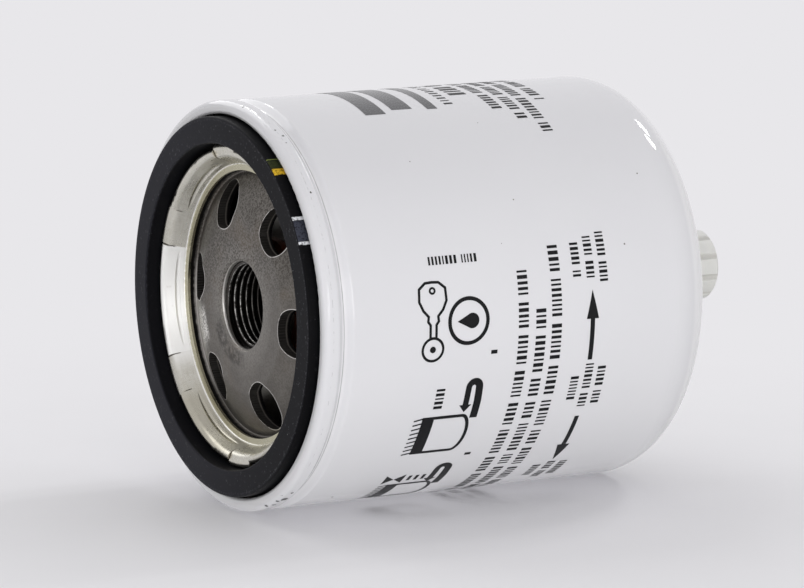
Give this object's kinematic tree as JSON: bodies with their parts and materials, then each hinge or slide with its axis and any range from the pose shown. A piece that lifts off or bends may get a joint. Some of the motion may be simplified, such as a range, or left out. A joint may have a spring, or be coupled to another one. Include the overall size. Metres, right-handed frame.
{
  "type": "fuel water separator",
  "caption": "Spin-on fuel water separator: enamelled steel can with sealing gasket, threaded base plate, ring of inlets, pleated element and screw drain valve.",
  "frame": {"origin": "centre of the mouth of the head thread", "axes": "+Z along the can's axis, out of the threaded end towards the filter head, as installed; the drain points to -Z; the middle of the printed side faces -Y"},
  "size_m": [0.0932, 0.0932, 0.1281],
  "materials": {
    "can_enamel": "gloss white enamel",
    "tinned_steel": "bright tinned sheet",
    "gasket_rubber": "satin moulded rubber",
    "plate_steel": "oiled mill finish",
    "seal_rubber": "matt moulded rubber",
    "element_steel": "tinned sheet",
    "potting": "cured adhesive",
    "filter_paper": "resin-treated paper",
    "spring_steel": "drawn wire",
    "plated_steel": "zinc plated",
    "drain_rubber": "smooth rubber",
    "drain_plastic": "natural moulded plastic"
  },
  "bodies": {
    "separator": {"can": "can_enamel", "retainer": "tinned_steel", "gasket": "gasket_rubber", "base_plate": "plate_steel", "inner_seal": "seal_rubber", "top_end_cap": "element_steel", "bottom_end_cap": "element_steel", "top_adhesive": "potting", "bottom_adhesive": "potting", "filter_media": "filter_paper", "media_clip": "element_steel", "centre_tube": "element_steel", "element_spring": "spring_steel", "drain_bushing": "plated_steel", "bushing_washer": "drain_rubber"},
    "valve_rings": {"valve_ring": "drain_rubber", "seat_ring": "drain_rubber"},
    "valve": {"drain_valve": "drain_plastic"}
  },
  "joints": [
    {"name": "valve_travel", "type": "slide", "parent": "separator", "child": "valve_rings", "axis": [0, 0, -1], "range_m": [0, 0.00226]},
    {"name": "valve_turn", "type": "hinge", "parent": "valve_rings", "child": "valve", "pos_m": [0, 0, -0.107], "axis": [0, 0, -1], "range_deg": [0, 540]}
  ],
  "couplings": [
    {"joint": "valve_travel", "follows": "valve_turn", "m_per_rad": 0.00023873}
  ]
}
